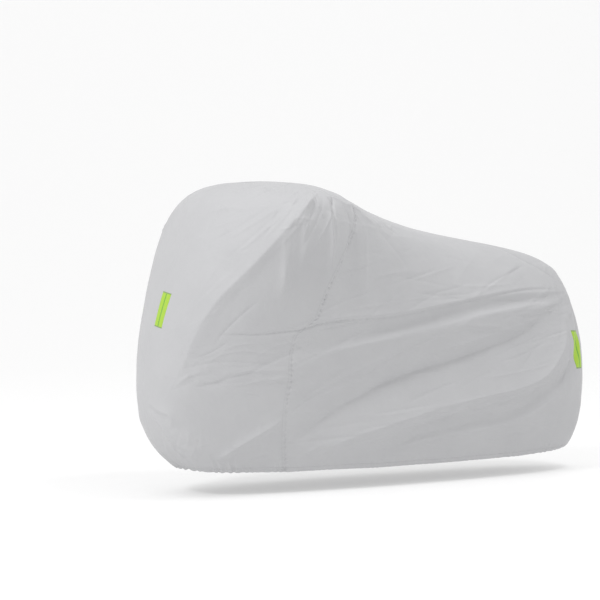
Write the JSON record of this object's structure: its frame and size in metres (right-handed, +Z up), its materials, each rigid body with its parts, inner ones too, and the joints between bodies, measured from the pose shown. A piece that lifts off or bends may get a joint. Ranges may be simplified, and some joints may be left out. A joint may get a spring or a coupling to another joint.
{
  "type": "fitted motorcycle cover",
  "caption": "Fitted silver cloth cover in the shape of a parked motorcycle, open underneath, with a gathered elastic hem and lime reflective strips",
  "frame": {"origin": "On the centre plane, against the underside of the cloth at the front of the seat, where the covered motorcycle holds it up", "axes": "+Z up; +X from the nose to the tail; -Y is the bike's left side; Z = -1.132 is the ground"},
  "size_m": [2.1937, 0.8951, 1.2199],
  "materials": {
    "silver_cloth": "silver-grey coated woven polyester, soft sheen, creased",
    "lime_reflective": "lime reflective tape, sewn on, satin"
  },
  "bodies": {
    "root": {"front_panel_near": "silver_cloth", "front_panel_far": "silver_cloth", "rear_panel_near": "silver_cloth", "rear_panel_far": "silver_cloth", "strip_front_near": "lime_reflective", "strip_front_far": "lime_reflective", "strip_rear_near": "lime_reflective", "strip_rear_far": "lime_reflective"}
  },
  "joints": []
}
